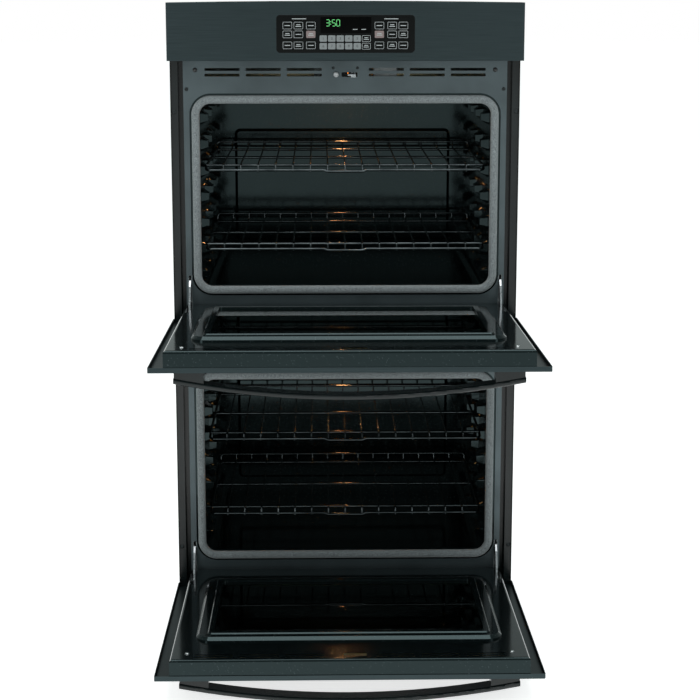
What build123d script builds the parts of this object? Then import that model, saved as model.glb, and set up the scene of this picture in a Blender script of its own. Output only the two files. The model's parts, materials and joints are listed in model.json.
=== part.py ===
"""Built-in double wall oven, 30 inch class, drawn with both drop-down doors open.

Frame: +X to the right, +Y into the cabinet, +Z up, millimetres. The origin is on the underside of the
base, midway between the sides, in the plane of the cabinet's front face.
Each oven section hangs from its own section line: the upper one starts at the underside of the control
panel, and the lower one starts SECTION_H further down. Doors are drawn closed and then turned open.
"""

import os
from math import cos, pi, sin

from build123d import *

# --- driving dimensions -------------------------------------------------------------------------
OVERALL_W = 755.6  # control panel and doors
OVERALL_H = 1356.0
PANEL_H = 125.0  # control panel height
SECTION_H = 608.0  # from one oven's section line to the next
CHASSIS_W = 717.6  # body that goes into the cut-out
CHASSIS_D = 560.0  # body depth behind the cabinet's face
CHASSIS_TOP = 1331.0
SHEET = 1.2  # case and trim sheet
ENAMEL = 1.5  # cavity and door liner sheet

FRAME_Y = -10.0  # front face of the front frame
FRAME_HALF = 348.0
DOOR_IN_Y = -20.0  # inner face of a closed door
DOOR_OUT_Y = -62.0  # outer face of a closed door, and front of the control panel

# heights below a section line
DOOR_TOP = 3.0
VENT_ROWS = (20.0, 32.0)
LATCH_DROP = 31.0
CORNER_SCREW_DROP = 62.0
CORNER_SCREW_X = 341.0
PANEL_SCREW_DROP = 17.0  # small screws of the vent panel, either side of the latch
PANEL_SCREW_X = 26.0
LINER_SCREW_DROP = 38.0
LINER_SCREW_X = 316.0
CEILING = 72.0
GASKET_TOP = 75.0
GASKET_BOTTOM = 508.0
FLOOR = 528.0
PIVOT_DROP = 550.0
TRIM_DROP = 585.0
LEVEL_PITCH = 175.0 / 3
LEVELS = tuple(233.0 + LEVEL_PITCH * n for n in range(-2, 5))  # seven rack heights
RACK_DROPS = {"upper": 233.0, "lower": 408.0}

# cavity
CAVITY_HALF = 318.0
CAVITY_BACK = 475.0
FLANGE_Y = -5.0  # recessed ring that the gasket sits on

# gasket
GASKET_HALF = 331.5
GASKET_W = 18.0
GASKET_R = 42.0
GASKET_GAP = 4.0

# door
DOOR_OPEN = 88.0  # degrees from closed to resting open
BELOW_PIVOT = 25.0
PIVOT_Y = -40.0
PIN_R = 4.0
RUNNING = 0.06  # radial clearance of a turning pin
LINER_HALF = 348.5
PLUG_HALF = 305.0
PLUG_TOP = 101.0
PLUG_BOTTOM = 483.0
PLUG_RISE = 9.0
WINDOW_HALF = 282.0
WINDOW_TOP = 118.0
WINDOW_BOTTOM = 465.0
ARM_X = 340.0
ARM_T = 4.0
ARM_SLOT = 7.6  # width of the frame's slot for a hinge arm
PILOT_R = 2.0  # hole for a sheet-metal screw

# vents and latch
SLOT_W = 75.0
SLOT_H = 6.0
SLOT_R = 1.2
SLOT_PITCH = 88.0
VENT_PANEL_H = 110.0
LATCH_X = 17.0
LATCH_PIVOT_Y = 35.0
PLUNGER_X = -20.0
PLUNGER_R = 5.5

# racks
RACK_HALF = 305.0  # centre of the side rails
RACK_FRONT = 32.0
RACK_BACK = 431.0
RAIL_R = 3.0
WIRE_R = 1.8
WIRE_PITCH = 38.1
WIRES = 15
WIRE_LIFT = 4.2

# handle
HANDLE_HALF = 332.0
HANDLE_T = 10.0
HANDLE_H = 38.0
HANDLE_DROP = 44.0  # centre of the bar below the door's top edge
HANDLE_END = 26.0  # outer face of the bar from the door at its ends
HANDLE_BOW = 32.0

SECTIONS = {"upper": OVERALL_H - PANEL_H, "lower": OVERALL_H - PANEL_H - SECTION_H}
SIDES = (-1, 1)


# --- small tools --------------------------------------------------------------------------------
def block(x0, x1, y0, y1, z0, z1):
    """A box between two corners."""
    centre = Pos((x0 + x1) / 2, (y0 + y1) / 2, (z0 + z1) / 2)
    return centre * Box(abs(x1 - x0), abs(y1 - y0), abs(z1 - z0))


def rod_x(r, x0, x1, y, z):
    return Pos((x0 + x1) / 2, y, z) * Rot(0, 90, 0) * Cylinder(r, abs(x1 - x0))


def rod_y(r, x, y0, y1, z):
    return Pos(x, (y0 + y1) / 2, z) * Rot(90, 0, 0) * Cylinder(r, abs(y1 - y0))


def rod_z(r, x, y, z0, z1):
    return Pos(x, y, (z0 + z1) / 2) * Cylinder(r, abs(z1 - z0))


def slab(x0, x1, y0, y1, z0, z1, r, taper=0):
    """A plate with rounded corners in XZ. A taper draws its low-y face in, in degrees."""
    outline = RectangleRounded(x1 - x0, z1 - z0, r)
    plane = Plane(origin=((x0 + x1) / 2, y1, (z0 + z1) / 2), x_dir=(1, 0, 0), z_dir=(0, -1, 0))
    return extrude(plane * outline, amount=y1 - y0, taper=taper)


def union(parts):
    """All the parts fused into one shape."""
    parts = list(parts)
    return parts[0].fuse(*parts[1:]) if len(parts) > 1 else parts[0]


def group(parts):
    """Separate solids kept side by side in one node."""
    return Compound(children=[s for p in parts for s in p.solids()])


def tube(points, radii, r, close=False):
    """A round rod along straight runs joined by arcs."""
    path = FilletPolyline(*points, radius=radii, close=close)
    start = Plane(origin=path @ 0, z_dir=path % 0)
    return sweep(start * Circle(r), path=path)


def screw(x, y, z, head_r=4.0, head_t=2.2, shank_r=1.8, length=7.0):
    """A pan-head screw driven along +Y, with its head seated at y."""
    head = rod_y(head_r, x, y - head_t, y, z)
    rim = [e for e in head.edges() if abs(e.center().Y - (y - head_t)) < 0.01]
    head = fillet(rim, head_t * 0.6)
    recess = block(x - 2.2, x + 2.2, y - head_t - 1, y - head_t + 1.0, z - 0.5, z + 0.5)
    recess += block(x - 0.5, x + 0.5, y - head_t - 1, y - head_t + 1.0, z - 2.2, z + 2.2)
    return head - recess + rod_y(shank_r, x, y - 0.1, y + length, z)


def turned_screw(x, y, z, length):
    """The same screw driven the other way, along -Y."""
    return Pos(0, 2 * y, 0) * mirror(screw(x, y, z, length=length), about=Plane.XZ)


# --- case ---------------------------------------------------------------------------------------
CASE_HALF = CHASSIS_W / 2
TRIM_BACK = 18.0  # depth of the recess beside the frame


def base_pan():
    """Bottom tray with upturned edges and two stiffening ribs. Its underside is z = 0."""
    tray = block(-CASE_HALF + 2, CASE_HALF - 2, -8, CHASSIS_D - 2, 0, 25)
    tray -= block(-CASE_HALF + 2 + SHEET, CASE_HALF - 2 - SHEET, -8 + SHEET, CHASSIS_D - 2 - SHEET, SHEET, 30)
    ribs = [block(s * 200 - 15, s * 200 + 15, 20, CHASSIS_D - 30, SHEET, SHEET + 6) for s in SIDES]
    return union([tray, *ribs])


def side_panel(side):
    """Flat side of the case with inward folds and three pressed stiffening ribs."""
    outer, inner = side * CASE_HALF, side * (CASE_HALF - SHEET)
    fold = side * (CASE_HALF - 12)
    sheet = block(inner, outer, TRIM_BACK + 1, CHASSIS_D - 2, 26, CHASSIS_TOP - 2)
    rear = block(fold, outer, CHASSIS_D - 2 - SHEET, CHASSIS_D - 2, 26, CHASSIS_TOP - 2)
    top = block(fold, outer, TRIM_BACK + 1, CHASSIS_D - 2, CHASSIS_TOP - 2 - SHEET, CHASSIS_TOP - 2)
    ribs = [
        block(side * (CASE_HALF - 4), inner, 80, CHASSIS_D - 60, z - 9, z + 9)
        for z in (330, 680, 1030)
    ]
    return union([sheet, rear, top, *ribs])


def back_panel():
    """Rear closing panel with three groups of cooling louvres and the conduit hole."""
    half = CASE_HALF - 3
    sheet = block(-half, half, CHASSIS_D - 2, CHASSIS_D - 2 + SHEET, 4, CHASSIS_TOP - 3)
    for z_group in (70, 660, 1262):
        for row in range(4):
            for column in (-160, -80, 0, 80, 160):
                z = z_group + 12 * row
                sheet -= slab(column - 30, column + 30, CHASSIS_D - 4, CHASSIS_D + 2, z - 2, z + 2, 1.9)
    sheet -= rod_y(14.5, JUNCTION_X, CHASSIS_D - 5, CHASSIS_D + 5, JUNCTION_Z)
    for x, z in BACK_SCREWS:
        sheet -= rod_y(2.0, x, CHASSIS_D - 5, CHASSIS_D + 5, z)
    return sheet


def top_panel():
    """Lid of the case, with a downturned front edge and air intake slots."""
    half = CASE_HALF - 3
    sheet = block(-half, half, -6, CHASSIS_D - 4, CHASSIS_TOP - SHEET, CHASSIS_TOP)
    sheet += block(-half, half, -6, -6 + SHEET, CHASSIS_TOP - 20, CHASSIS_TOP)
    for x in range(-120, 121, 24):
        sheet -= block(x - 4, x + 4, 260, 400, CHASSIS_TOP - 4, CHASSIS_TOP + 2)
    return sheet


JUNCTION_X, JUNCTION_Z = -250.0, 1290.0
BACK_SCREWS = [(x, z) for x in (-344, 344) for z in (50, 370, 690, 1010, 1310)]


def frame_opening(section, y0, y1, gap=GASKET_GAP):
    """The rounded hole round the gasket, a little larger than it."""
    half, low, high = GASKET_HALF + gap, section - GASKET_BOTTOM - gap, section - GASKET_TOP + gap
    return slab(-half, half, y0, y1, low, high, GASKET_R + gap)


def front_frame():
    """One pressed sheet behind both doors, with an opening for each cavity, its air outlet and hinge arms."""
    sheet = block(-FRAME_HALF, FRAME_HALF, FRAME_Y, FRAME_Y + SHEET, 26, CHASSIS_TOP - 22)
    for section in SECTIONS.values():
        sheet -= frame_opening(section, FRAME_Y - 2, FRAME_Y + 4)
        sheet -= block(-312, 312, FRAME_Y - 2, FRAME_Y + 4, section - 44, section - 10)
        for side in SIDES:
            inner, outer = side * (ARM_X - ARM_SLOT / 2), side * (ARM_X + ARM_SLOT / 2)
            sheet -= block(inner, outer, FRAME_Y - 2, FRAME_Y + 4, section - 560, section - 468)
            x = side * CORNER_SCREW_X
            sheet -= rod_y(PILOT_R, x, FRAME_Y - 2, FRAME_Y + 4, section - CORNER_SCREW_DROP)
    return sheet


def vent_panel(section):
    """Sheet above each cavity: two rows of air slots, the latch slot and the door switch hole."""
    y0, y1 = FRAME_Y - SHEET, FRAME_Y
    sheet = block(-FRAME_HALF, FRAME_HALF, y0, y1, section - VENT_PANEL_H, section - 1)
    sheet -= frame_opening(section, y0 - 2, y1 + 2)
    for drop in VENT_ROWS:
        for side in SIDES:
            for n in (1, 2, 3):
                left, z = side * n * SLOT_PITCH - SLOT_W / 2, section - drop - SLOT_H / 2
                sheet -= slab(left, left + SLOT_W, y0 - 2, y1 + 2, z, z + SLOT_H, SLOT_R)
    z = section - LATCH_DROP
    sheet -= slab(-8, 26, y0 - 2, y1 + 2, z - 5, z + 5, 2)
    sheet -= rod_y(PLUNGER_R + 0.4, PLUNGER_X, y0 - 2, y1 + 2, z)
    for side in SIDES:
        sheet -= rod_y(PILOT_R, side * CORNER_SCREW_X, y0 - 2, y1 + 2, section - CORNER_SCREW_DROP)
        sheet -= rod_y(PILOT_R, side * PANEL_SCREW_X, y0 - 2, y1 + 2, section - PANEL_SCREW_DROP)
    return sheet


MOUNT_X = 369.5
MOUNT_HEIGHTS = (140.0, 1120.0)
MOUNT_HOLE_R = 2.5


def side_trim(side):
    """Folded trim beside the frame: a flange that lies on the cabinet and a deep dark recess."""
    outline = [
        (side * 376.5, -7.0),
        (side * 376.5, 0.0),
        (side * 361.5, 0.0),
        (side * 361.5, TRIM_BACK),
        (side * 349.4, TRIM_BACK),
        (side * 349.4, FRAME_Y + 1.0),
    ]
    folds = zip(outline, outline[1:])
    walls = []
    for (xa, ya), (xb, yb) in folds:
        x_low, x_high = sorted((xa, xb))
        y_low, y_high = sorted((ya, yb))
        if x_low == x_high:  # a wall that runs front to back, with its thickness towards the centre
            x_low, x_high = (x_low - SHEET, x_high) if side > 0 else (x_low, x_high + SHEET)
        else:
            y_low = y_high - SHEET
            x_low, x_high = (x_low - SHEET, x_high) if side > 0 else (x_low, x_high + SHEET)
        walls.append(block(x_low, x_high, y_low, y_high, 26, SECTIONS["upper"] - 1))
    trim = union(walls)
    for z in MOUNT_HEIGHTS:
        trim -= rod_y(MOUNT_HOLE_R, side * MOUNT_X, -5, 3, z)
    return trim


def door_rail(z_top, height):
    """Folded air deflector below a door: a front strip with a shelf back to the frame."""
    half = OVERALL_W / 2
    strip = block(-half, half, DOOR_OUT_Y + 4, DOOR_OUT_Y + 4 + SHEET, z_top - height, z_top)
    shelf = block(-half, half, DOOR_OUT_Y + 4, FRAME_Y - 0.2, z_top - height, z_top - height + SHEET)
    back = block(-FRAME_HALF, FRAME_HALF, FRAME_Y - 0.2 - SHEET, FRAME_Y - 0.2, z_top - height, z_top)
    ends = [
        block(side * half, side * (half - SHEET), DOOR_OUT_Y + 4, FRAME_Y - 0.2, z_top - height, z_top)
        for side in SIDES
    ]
    return union([strip, shelf, back, *ends])


# --- cavity -------------------------------------------------------------------------------------
WALL_OUT = CAVITY_HALF + ENAMEL
PAD_RISE = 16.0
PAD_H = 34.0
PAD_RUNS = ((68.0, 118.0), (200.0, 268.0), (322.0, 424.0))
SENSOR_X, SENSOR_DROP = -255.0, 112.0
TERMINAL_X = 28.0
BROIL_DROP = 90.0
BAKE_DROP = 537.0
RAISED_HALF = 263.5  # raised field of the back wall
RAISED_TOP = 186.0
RAISED_BOTTOM = 463.0
BLANKET_SIDE = 15.0  # thickness of the glass wool
BLANKET_BACK = 30.0
BLANKET_TOP = 22.0
LAMP_Y = 391.0


def rack_pads(section):
    """Pressed pads on both side walls: three to a level, with sloping faces all round."""
    pads = []
    for drop in LEVELS:
        z = section - drop - RAIL_R - 9.9
        for y0, y1 in PAD_RUNS:
            outline = RectangleRounded(y1 - y0, PAD_H, 8)
            for side in SIDES:
                foot = (side * (CAVITY_HALF + 0.5), (y0 + y1) / 2, z)
                plane = Plane(origin=foot, x_dir=(0, 1, 0), z_dir=(-side, 0, 0))
                pads.append(extrude(plane * outline, amount=PAD_RISE + 0.5, taper=32))
    return pads


def cavity(section):
    """Enamelled oven box: walls, pressed rack pads, raised back panel and the ring round its mouth."""
    floor, ceiling = section - FLOOR, section - CEILING
    outer = block(-WALL_OUT, WALL_OUT, FLANGE_Y, CAVITY_BACK + ENAMEL, floor - ENAMEL, ceiling + ENAMEL)
    outer = fillet(outer.edges().filter_by(Axis.Y), 22)
    inner = block(-CAVITY_HALF, CAVITY_HALF, FLANGE_Y - 1, CAVITY_BACK, floor, ceiling)
    inner = fillet(inner.edges().filter_by(Axis.Y), 20.5)
    shell = outer - inner
    ring = slab(-335, 335, FLANGE_Y, FLANGE_Y + ENAMEL, section - 520, section - 64, GASKET_R + 3)
    mouth = slab(-314.5, 314.5, FLANGE_Y - 2, FLANGE_Y + 4, section - 489, section - 94, 24)
    shell = shell + (ring - mouth)
    low, high = section - RAISED_BOTTOM, section - RAISED_TOP
    raised = slab(-RAISED_HALF, RAISED_HALF, CAVITY_BACK - 8, CAVITY_BACK + 0.5, low, high, 14, taper=40)
    shell = union([shell, raised, *rack_pads(section)])
    for x in (-TERMINAL_X, TERMINAL_X):
        shell -= rod_y(5.0, x, CAVITY_BACK - 10, CAVITY_BACK + 5, section - BROIL_DROP)
    shell -= rod_y(3.2, SENSOR_X, CAVITY_BACK - 10, CAVITY_BACK + 5, section - SENSOR_DROP)
    shell -= rod_z(15.0, 0, LAMP_Y, ceiling - 3, ceiling + 5)
    return shell


def insulation(section):
    """Glass-wool blanket round the top, bottom, sides and back of a cavity."""
    floor, ceiling = section - FLOOR, section - CEILING
    half, back, top = WALL_OUT + 0.5, CAVITY_BACK + ENAMEL + 0.5, ceiling + ENAMEL + 0.5
    inner = block(-half, half, FLANGE_Y - 1, back, floor - 18, top)
    half += BLANKET_SIDE
    blanket = block(-half, half, FLANGE_Y + 4, back + BLANKET_BACK, floor - 40, top + BLANKET_TOP) - inner
    blanket -= rod_z(17.0, 0, LAMP_Y, ceiling, ceiling + 40)
    for x in (-TERMINAL_X, TERMINAL_X):
        for drop in (BROIL_DROP, BAKE_DROP):
            blanket -= rod_y(7.0, x, CAVITY_BACK, CAVITY_BACK + 50, section - drop)
    blanket -= rod_y(7.0, SENSOR_X, CAVITY_BACK, CAVITY_BACK + 50, section - SENSOR_DROP)
    return blanket


def gasket(section):
    """Braided door seal: a closed ring, flat behind and rounded in front."""
    half, inner = GASKET_HALF, GASKET_HALF - GASKET_W
    low, high = section - GASKET_BOTTOM, section - GASKET_TOP
    front = DOOR_IN_Y + 0.6
    ring = slab(-half, half, front, FLANGE_Y, low, high, GASKET_R)
    ring -= slab(
        -inner, inner, front - 1, FLANGE_Y + 1, low + GASKET_W, high - GASKET_W, GASKET_R - GASKET_W
    )
    rims = [e for e in ring.edges() if abs(e.center().Y - front) < 0.01]
    return fillet(rims, 8.0)


def heater(section, drop, passes_front):
    """Sheathed element of eight passes, with both ends led out through the back wall."""
    z = section - drop
    back, near = 430.0, 350.0
    columns = (28.0, 98.0, 168.0, 238.0)
    right = [
        (columns[0], near),
        (columns[0], passes_front),
        (columns[1], passes_front),
        (columns[1], near + 30),
        (columns[2], near + 30),
        (columns[2], passes_front),
        (columns[3], passes_front),
        (columns[3], back),
        (columns[0], back),
        (TERMINAL_X, CAVITY_BACK + 55),
    ]
    line = [(-x, y, z) for x, y in reversed(right)] + [(x, y, z) for x, y in right]
    return tube(line, 22.0, 3.2)


def lamp(section):
    """Glass cover and halogen capsule under the ceiling."""
    ceiling = section - CEILING
    dome = Pos(0, LAMP_Y, ceiling - 0.3) * (Sphere(21) - Sphere(18.6) - Pos(0, 0, 25) * Box(60, 60, 50))
    capsule = rod_z(6.0, 0, LAMP_Y, ceiling - 9, ceiling + 28)
    tip = Pos(0, LAMP_Y, ceiling - 9) * Sphere(6.0)
    return group([dome, capsule + tip])


def temperature_sensor(section):
    """Probe rod with its fixing plate on the back wall."""
    z = section - SENSOR_DROP
    rod = rod_y(2.6, SENSOR_X, CAVITY_BACK - 130, CAVITY_BACK + 45, z)
    plate = block(SENSOR_X - 22, SENSOR_X + 22, CAVITY_BACK - 1.5, CAVITY_BACK - 0.1, z - 9, z + 9)
    return rod + plate


# --- hinges -------------------------------------------------------------------------------------
def hinge_receiver(section, side):
    """Folded bracket behind the frame that the hinge arm hooks into, with two cross pins."""
    x = side * ARM_X
    low, high = section - 562, section - 466
    channel = block(x - 4.4, x + 4.4, FRAME_Y + SHEET + 0.2, 34, low, high)
    channel -= block(x - 2.9, x + 2.9, FRAME_Y - 1, 32.5, low - 1, high + 1)
    pins = [rod_x(2.5, x - 4.4, x + 4.4, 12, section - drop) for drop in (502.5, 530.0)]
    return union([channel, *pins])


def hinge_arm(section, side):
    """Steel hook plate: its tongue rests in the receiver and its leg carries the hinge pin."""
    x0, x1 = side * ARM_X - ARM_T / 2, side * ARM_X + ARM_T / 2
    pivot = section - PIVOT_DROP
    outline = Polyline(
        (28.0, section - 478.0),
        (-14.0, section - 478.0),
        (-26.0, section - 490.0),
        (PIVOT_Y - 8.0, pivot + 4.0),
        (PIVOT_Y + 8.0, pivot - 4.0),
        (-15.0, section - 512.0),
        (-11.0, section - 499.5),
        (28.0, section - 499.5),
        close=True,
    )
    plate = extrude(Plane.YZ.offset(x0) * make_face(outline), amount=x1 - x0)
    plate += rod_x(10.0, x0, x1, PIVOT_Y, pivot)
    notch = block(x0 - 1, x1 + 1, -4, 7.5, section - 505, section - 494)
    return plate - notch - rod_x(PIN_R + RUNNING, x0 - 1, x1 + 1, PIVOT_Y, pivot)


def door_hinge(section, side):
    """The door's half of a hinge: a folded channel, the turning pin and the balance spring."""
    x, pivot = side * ARM_X, section - PIVOT_DROP
    channel = block(x - 6, x + 6, -56, -24.2, pivot - 16, pivot + 150)
    channel -= block(x - 4.6, x + 4.6, -54.6, -20, pivot - 20, pivot + 155)
    channel -= rod_x(PIN_R, x - 8, x + 8, PIVOT_Y, pivot)
    anchor = rod_x(2.0, x - 4.6, x + 4.6, -47, pivot + 140)
    pin = rod_x(PIN_R, x - 6, x + 6, PIVOT_Y, pivot)
    turn, wire = 3.6, 0.8
    coil = Helix(pitch=2.6, height=72, radius=turn)
    section_face = Plane(origin=coil @ 0, z_dir=coil % 0) * Circle(wire)
    spring = Pos(x, -47, pivot + 62) * sweep(section_face, path=coil)
    return group([channel + anchor, pin, spring])


# --- doors --------------------------------------------------------------------------------------
def door_skin(section):
    """Painted outer sheet with folded edges and the window cut-out."""
    half = OVERALL_W / 2
    low, high = section - PIVOT_DROP - BELOW_PIVOT, section - DOOR_TOP
    t = ENAMEL
    pan = slab(-half, half, DOOR_OUT_Y, DOOR_OUT_Y + 10, low, high, 3)
    pan -= slab(-half + t, half - t, DOOR_OUT_Y + t, DOOR_OUT_Y + 12, low + t, high - t, 1.5)
    pan -= slab(-240, 240, DOOR_OUT_Y - 1, DOOR_OUT_Y + 5, section - 425, section - 150, 12)
    for x, z in handle_screw_places(section):
        pan -= rod_y(2.6, x, DOOR_OUT_Y - 1, DOOR_OUT_Y + 5, z)
    return pan


def pane(section, half, y0, top, bottom):
    return slab(-half, half, y0, y0 + 4, section - bottom, section - top, 4)


def outer_glass(section):
    return pane(section, 256, DOOR_OUT_Y + ENAMEL, 134, 441)


def glass_pack(section):
    """Two heat-barrier panes in the middle of the door, held by a channel frame."""
    half, top, bottom = 262, 128, 447
    panes = [pane(section, half, y, top, bottom) for y in (-46.0, -32.0)]
    frame = slab(-half - 4, half + 4, -50, -24, section - bottom - 4, section - top + 4, 6)
    frame -= slab(-half + 8, half - 8, -52, -22, section - bottom + 8, section - top - 8, 4)
    frame -= union([slab(-half, half, y, y + 4, section - bottom, section - top, 4) for y in (-46.0, -32.0)])
    return group([*panes, frame])


def inner_glass(section):
    y0 = DOOR_IN_Y + PLUG_RISE - ENAMEL - 4
    return pane(section, WINDOW_HALF - 4, y0, WINDOW_TOP + 4, WINDOW_BOTTOM - 4)


def plug_body(section, grow, y0):
    """The raised middle of the liner, grown or shrunk on every side."""
    return slab(
        -PLUG_HALF - grow,
        PLUG_HALF + grow,
        y0,
        DOOR_IN_Y + PLUG_RISE + grow,
        section - PLUG_BOTTOM - grow,
        section - PLUG_TOP + grow,
        30 + grow,
    )


def window_hole(section, inset, r):
    """The see-through area of the window, smaller than the retaining frame by the inset."""
    half, low, high = WINDOW_HALF - inset, section - WINDOW_BOTTOM + inset, section - WINDOW_TOP - inset
    return slab(-half, half, -30, 0, low, high, r)


def door_liner(section):
    """Enamelled inner pan: raised middle round the window, air slots, latch opening and hinge slots."""
    half, t = LINER_HALF, ENAMEL
    low, high = section - PIVOT_DROP - 21, section - DOOR_TOP - ENAMEL - 0.5
    back = DOOR_OUT_Y + ENAMEL + 0.1
    pan = block(-half, half, back, DOOR_IN_Y, low, high)
    pan = fillet([e for e in pan.edges() if abs(e.center().Y - DOOR_IN_Y) < 0.01], 6)
    hollow = block(-half + t, half - t, back - 1, DOOR_IN_Y - t, low + t, high - t)
    hollow = fillet([e for e in hollow.edges() if abs(e.center().Y - (DOOR_IN_Y - t)) < 0.01], 4.5)
    plug = plug_body(section, 0, DOOR_IN_Y - 3)
    plug = chamfer([e for e in plug.edges() if abs(e.center().Y - (DOOR_IN_Y + PLUG_RISE)) < 0.01], 6)
    core = plug_body(section, -t, DOOR_IN_Y - 8)
    core = chamfer([e for e in core.edges() if abs(e.center().Y - (DOOR_IN_Y + PLUG_RISE - t)) < 0.01], 5)
    liner = pan + plug - hollow - core
    liner -= window_hole(section, 12, 8)
    for drop in VENT_ROWS:
        for side in SIDES:
            for n in (1, 2, 3):
                left, z = side * n * SLOT_PITCH - SLOT_W / 2, section - drop
                liner -= slab(left, left + SLOT_W, DOOR_IN_Y - 3, DOOR_IN_Y + 2, z - 2.6, z + 2.6, SLOT_R)
    z = section - LATCH_DROP
    liner -= slab(-12.5, 32.5, DOOR_IN_Y - 3, DOOR_IN_Y + 2, z - 9, z + 9, 2)
    for side in SIDES:
        x = side * ARM_X
        liner -= block(x - 4, x + 4, DOOR_IN_Y - 3, DOOR_IN_Y + 2, low - 1, section - 462)
        liner -= block(x - 4, x + 4, PIVOT_Y - 14, DOOR_IN_Y + 2, low - 1, low + t + 5)
        liner -= rod_y(2.0, side * LINER_SCREW_X, DOOR_IN_Y - 3, DOOR_IN_Y + 2, section - LINER_SCREW_DROP)
    return liner


def window_frame(section):
    """Retaining frame round the inner glass, with a rounded outer edge."""
    y = DOOR_IN_Y + PLUG_RISE
    ring = slab(-WINDOW_HALF, WINDOW_HALF, y, y + 3.5, section - WINDOW_BOTTOM, section - WINDOW_TOP, 9)
    ring = chamfer([e for e in ring.edges() if abs(e.center().Y - (y + 3.5)) < 0.01], 2.2)
    return ring - window_hole(section, 13, 6)


def door_insulation(section):
    """Glass-wool frame that fills the door round the glass pack."""
    outer = block(-330, 330, -56, -23, section - 530, section - 60)
    return outer - block(-274, 274, -58, -20, section - 458, section - 116)


def handle(section):
    """Bowed bar of constant section on two end blocks."""
    top = section - DOOR_TOP - HANDLE_DROP + HANDLE_H / 2
    sagitta_r = (HANDLE_HALF**2 + HANDLE_BOW**2) / (2 * HANDLE_BOW)
    outer_y = DOOR_OUT_Y - HANDLE_END - HANDLE_BOW
    centre = outer_y + sagitta_r

    def arc_y(x, r):
        return centre - (r**2 - x**2) ** 0.5

    inner_r = sagitta_r - HANDLE_T
    h = HANDLE_HALF
    outline = make_face(
        Curve()
        + ThreePointArc((-h, arc_y(h, sagitta_r)), (0, outer_y), (h, arc_y(h, sagitta_r)))
        + Line((h, arc_y(h, sagitta_r)), (h, arc_y(h, inner_r)))
        + ThreePointArc((h, arc_y(h, inner_r)), (0, outer_y + HANDLE_T), (-h, arc_y(h, inner_r)))
        + Line((-h, arc_y(h, inner_r)), (-h, arc_y(h, sagitta_r)))
    )
    bar = extrude(Plane.XY.offset(top - HANDLE_H) * outline, amount=HANDLE_H)
    long_edges = [e for e in bar.edges() if e.length > HANDLE_HALF]
    bar = fillet(long_edges, 3.5)
    blocks = []
    for side in SIDES:
        inner, outer = side * (h - 57), side * (h - 1.0)
        post = block(inner, outer, outer_y, DOOR_OUT_Y - 0.05, top - HANDLE_H + 4, top - 4)
        post -= extrude(
            Plane.XY.offset(top - HANDLE_H - 1) * Pos(0, centre) * Circle(sagitta_r + 80), amount=HANDLE_H + 2
        ) - extrude(
            Plane.XY.offset(top - HANDLE_H - 1) * Pos(0, centre) * Circle(inner_r - 0.05), amount=HANDLE_H + 2
        )
        post -= rod_y(2.0, side * (h - 28), DOOR_OUT_Y - 9, DOOR_OUT_Y + 1, top - HANDLE_H / 2)
        blocks.append(post)
    return group([bar, *blocks])


def handle_screw_places(section):
    z = section - DOOR_TOP - HANDLE_DROP
    return [(side * (HANDLE_HALF - 28), z) for side in SIDES]


def door_screws(section):
    """Two plated screws on the liner's corners and two that hold the handle from inside."""
    places = [(side * LINER_SCREW_X, DOOR_IN_Y, section - LINER_SCREW_DROP, 7.0) for side in SIDES]
    places += [(x, DOOR_OUT_Y + ENAMEL, z, 8.0) for x, z in handle_screw_places(section)]
    return group([turned_screw(x, y, z, length) for x, y, z, length in places])


# --- latch and door switch ------------------------------------------------------------------------
def latch_unit(section):
    """Shelf behind the vent panel with the latch motor, the hook's pivot pin and the door switch body."""
    z = section - LATCH_DROP
    shelf = block(-60, 130, FRAME_Y + 3, 95, z - 14, z - 14 + SHEET)
    lip = block(-60, 130, FRAME_Y + 3, FRAME_Y + 3 + SHEET, z - 20, z - 13)
    pin = rod_z(3.0, LATCH_X, LATCH_PIVOT_Y, z - 13, z + 5)
    motor = block(62, 112, 30, 84, z - 13, z + 13) + rod_z(14, 87, 57, z + 12, z + 22)
    body_y = FRAME_Y + 28
    switch = block(PLUNGER_X - 10, PLUNGER_X + 10, body_y, body_y + 24, z - 13, z + 9)
    switch += block(PLUNGER_X - 10, PLUNGER_X + 10, FRAME_Y + 8, body_y, z - 13, z - 9)
    guide = rod_y(PLUNGER_R + 2.5, PLUNGER_X, FRAME_Y + 8, FRAME_Y + 18, z)
    guide -= rod_y(PLUNGER_R + RUNNING, PLUNGER_X, FRAME_Y, FRAME_Y + 25, z)
    guide += block(PLUNGER_X - 3, PLUNGER_X + 3, FRAME_Y + 8, FRAME_Y + 18, z - 10, z - PLUNGER_R - 0.5)
    return union([shelf, lip, pin, motor, switch, guide])


def latch_hook(section):
    """Flat steel hook that swings through the vent panel and the door's latch opening."""
    z = section - LATCH_DROP
    shank = block(LATCH_X - 5, LATCH_X + 5, -34, LATCH_PIVOT_Y, z - 1.5, z + 1.5)
    boss = rod_z(9, LATCH_X, LATCH_PIVOT_Y, z - 4, z + 4)
    tip = block(LATCH_X - 12, LATCH_X - 4, -34, -27, z - 1.5, z + 1.5)
    turned = block(LATCH_X - 5, LATCH_X + 5, -34, -31.5, z - 5, z + 1.5)
    hook = union([shank, boss, tip, turned])
    return hook - rod_z(3.0 + RUNNING, LATCH_X, LATCH_PIVOT_Y, z - 10, z + 10)


def switch_plunger(section):
    """Moulded button that the closed door pushes in."""
    z = section - LATCH_DROP
    rod = rod_y(PLUNGER_R, PLUNGER_X, DOOR_IN_Y + 0.6, FRAME_Y + 21, z)
    nose = [e for e in rod.edges() if abs(e.center().Y - (DOOR_IN_Y + 0.6)) < 0.01]
    return fillet(nose, 2.5)


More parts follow.
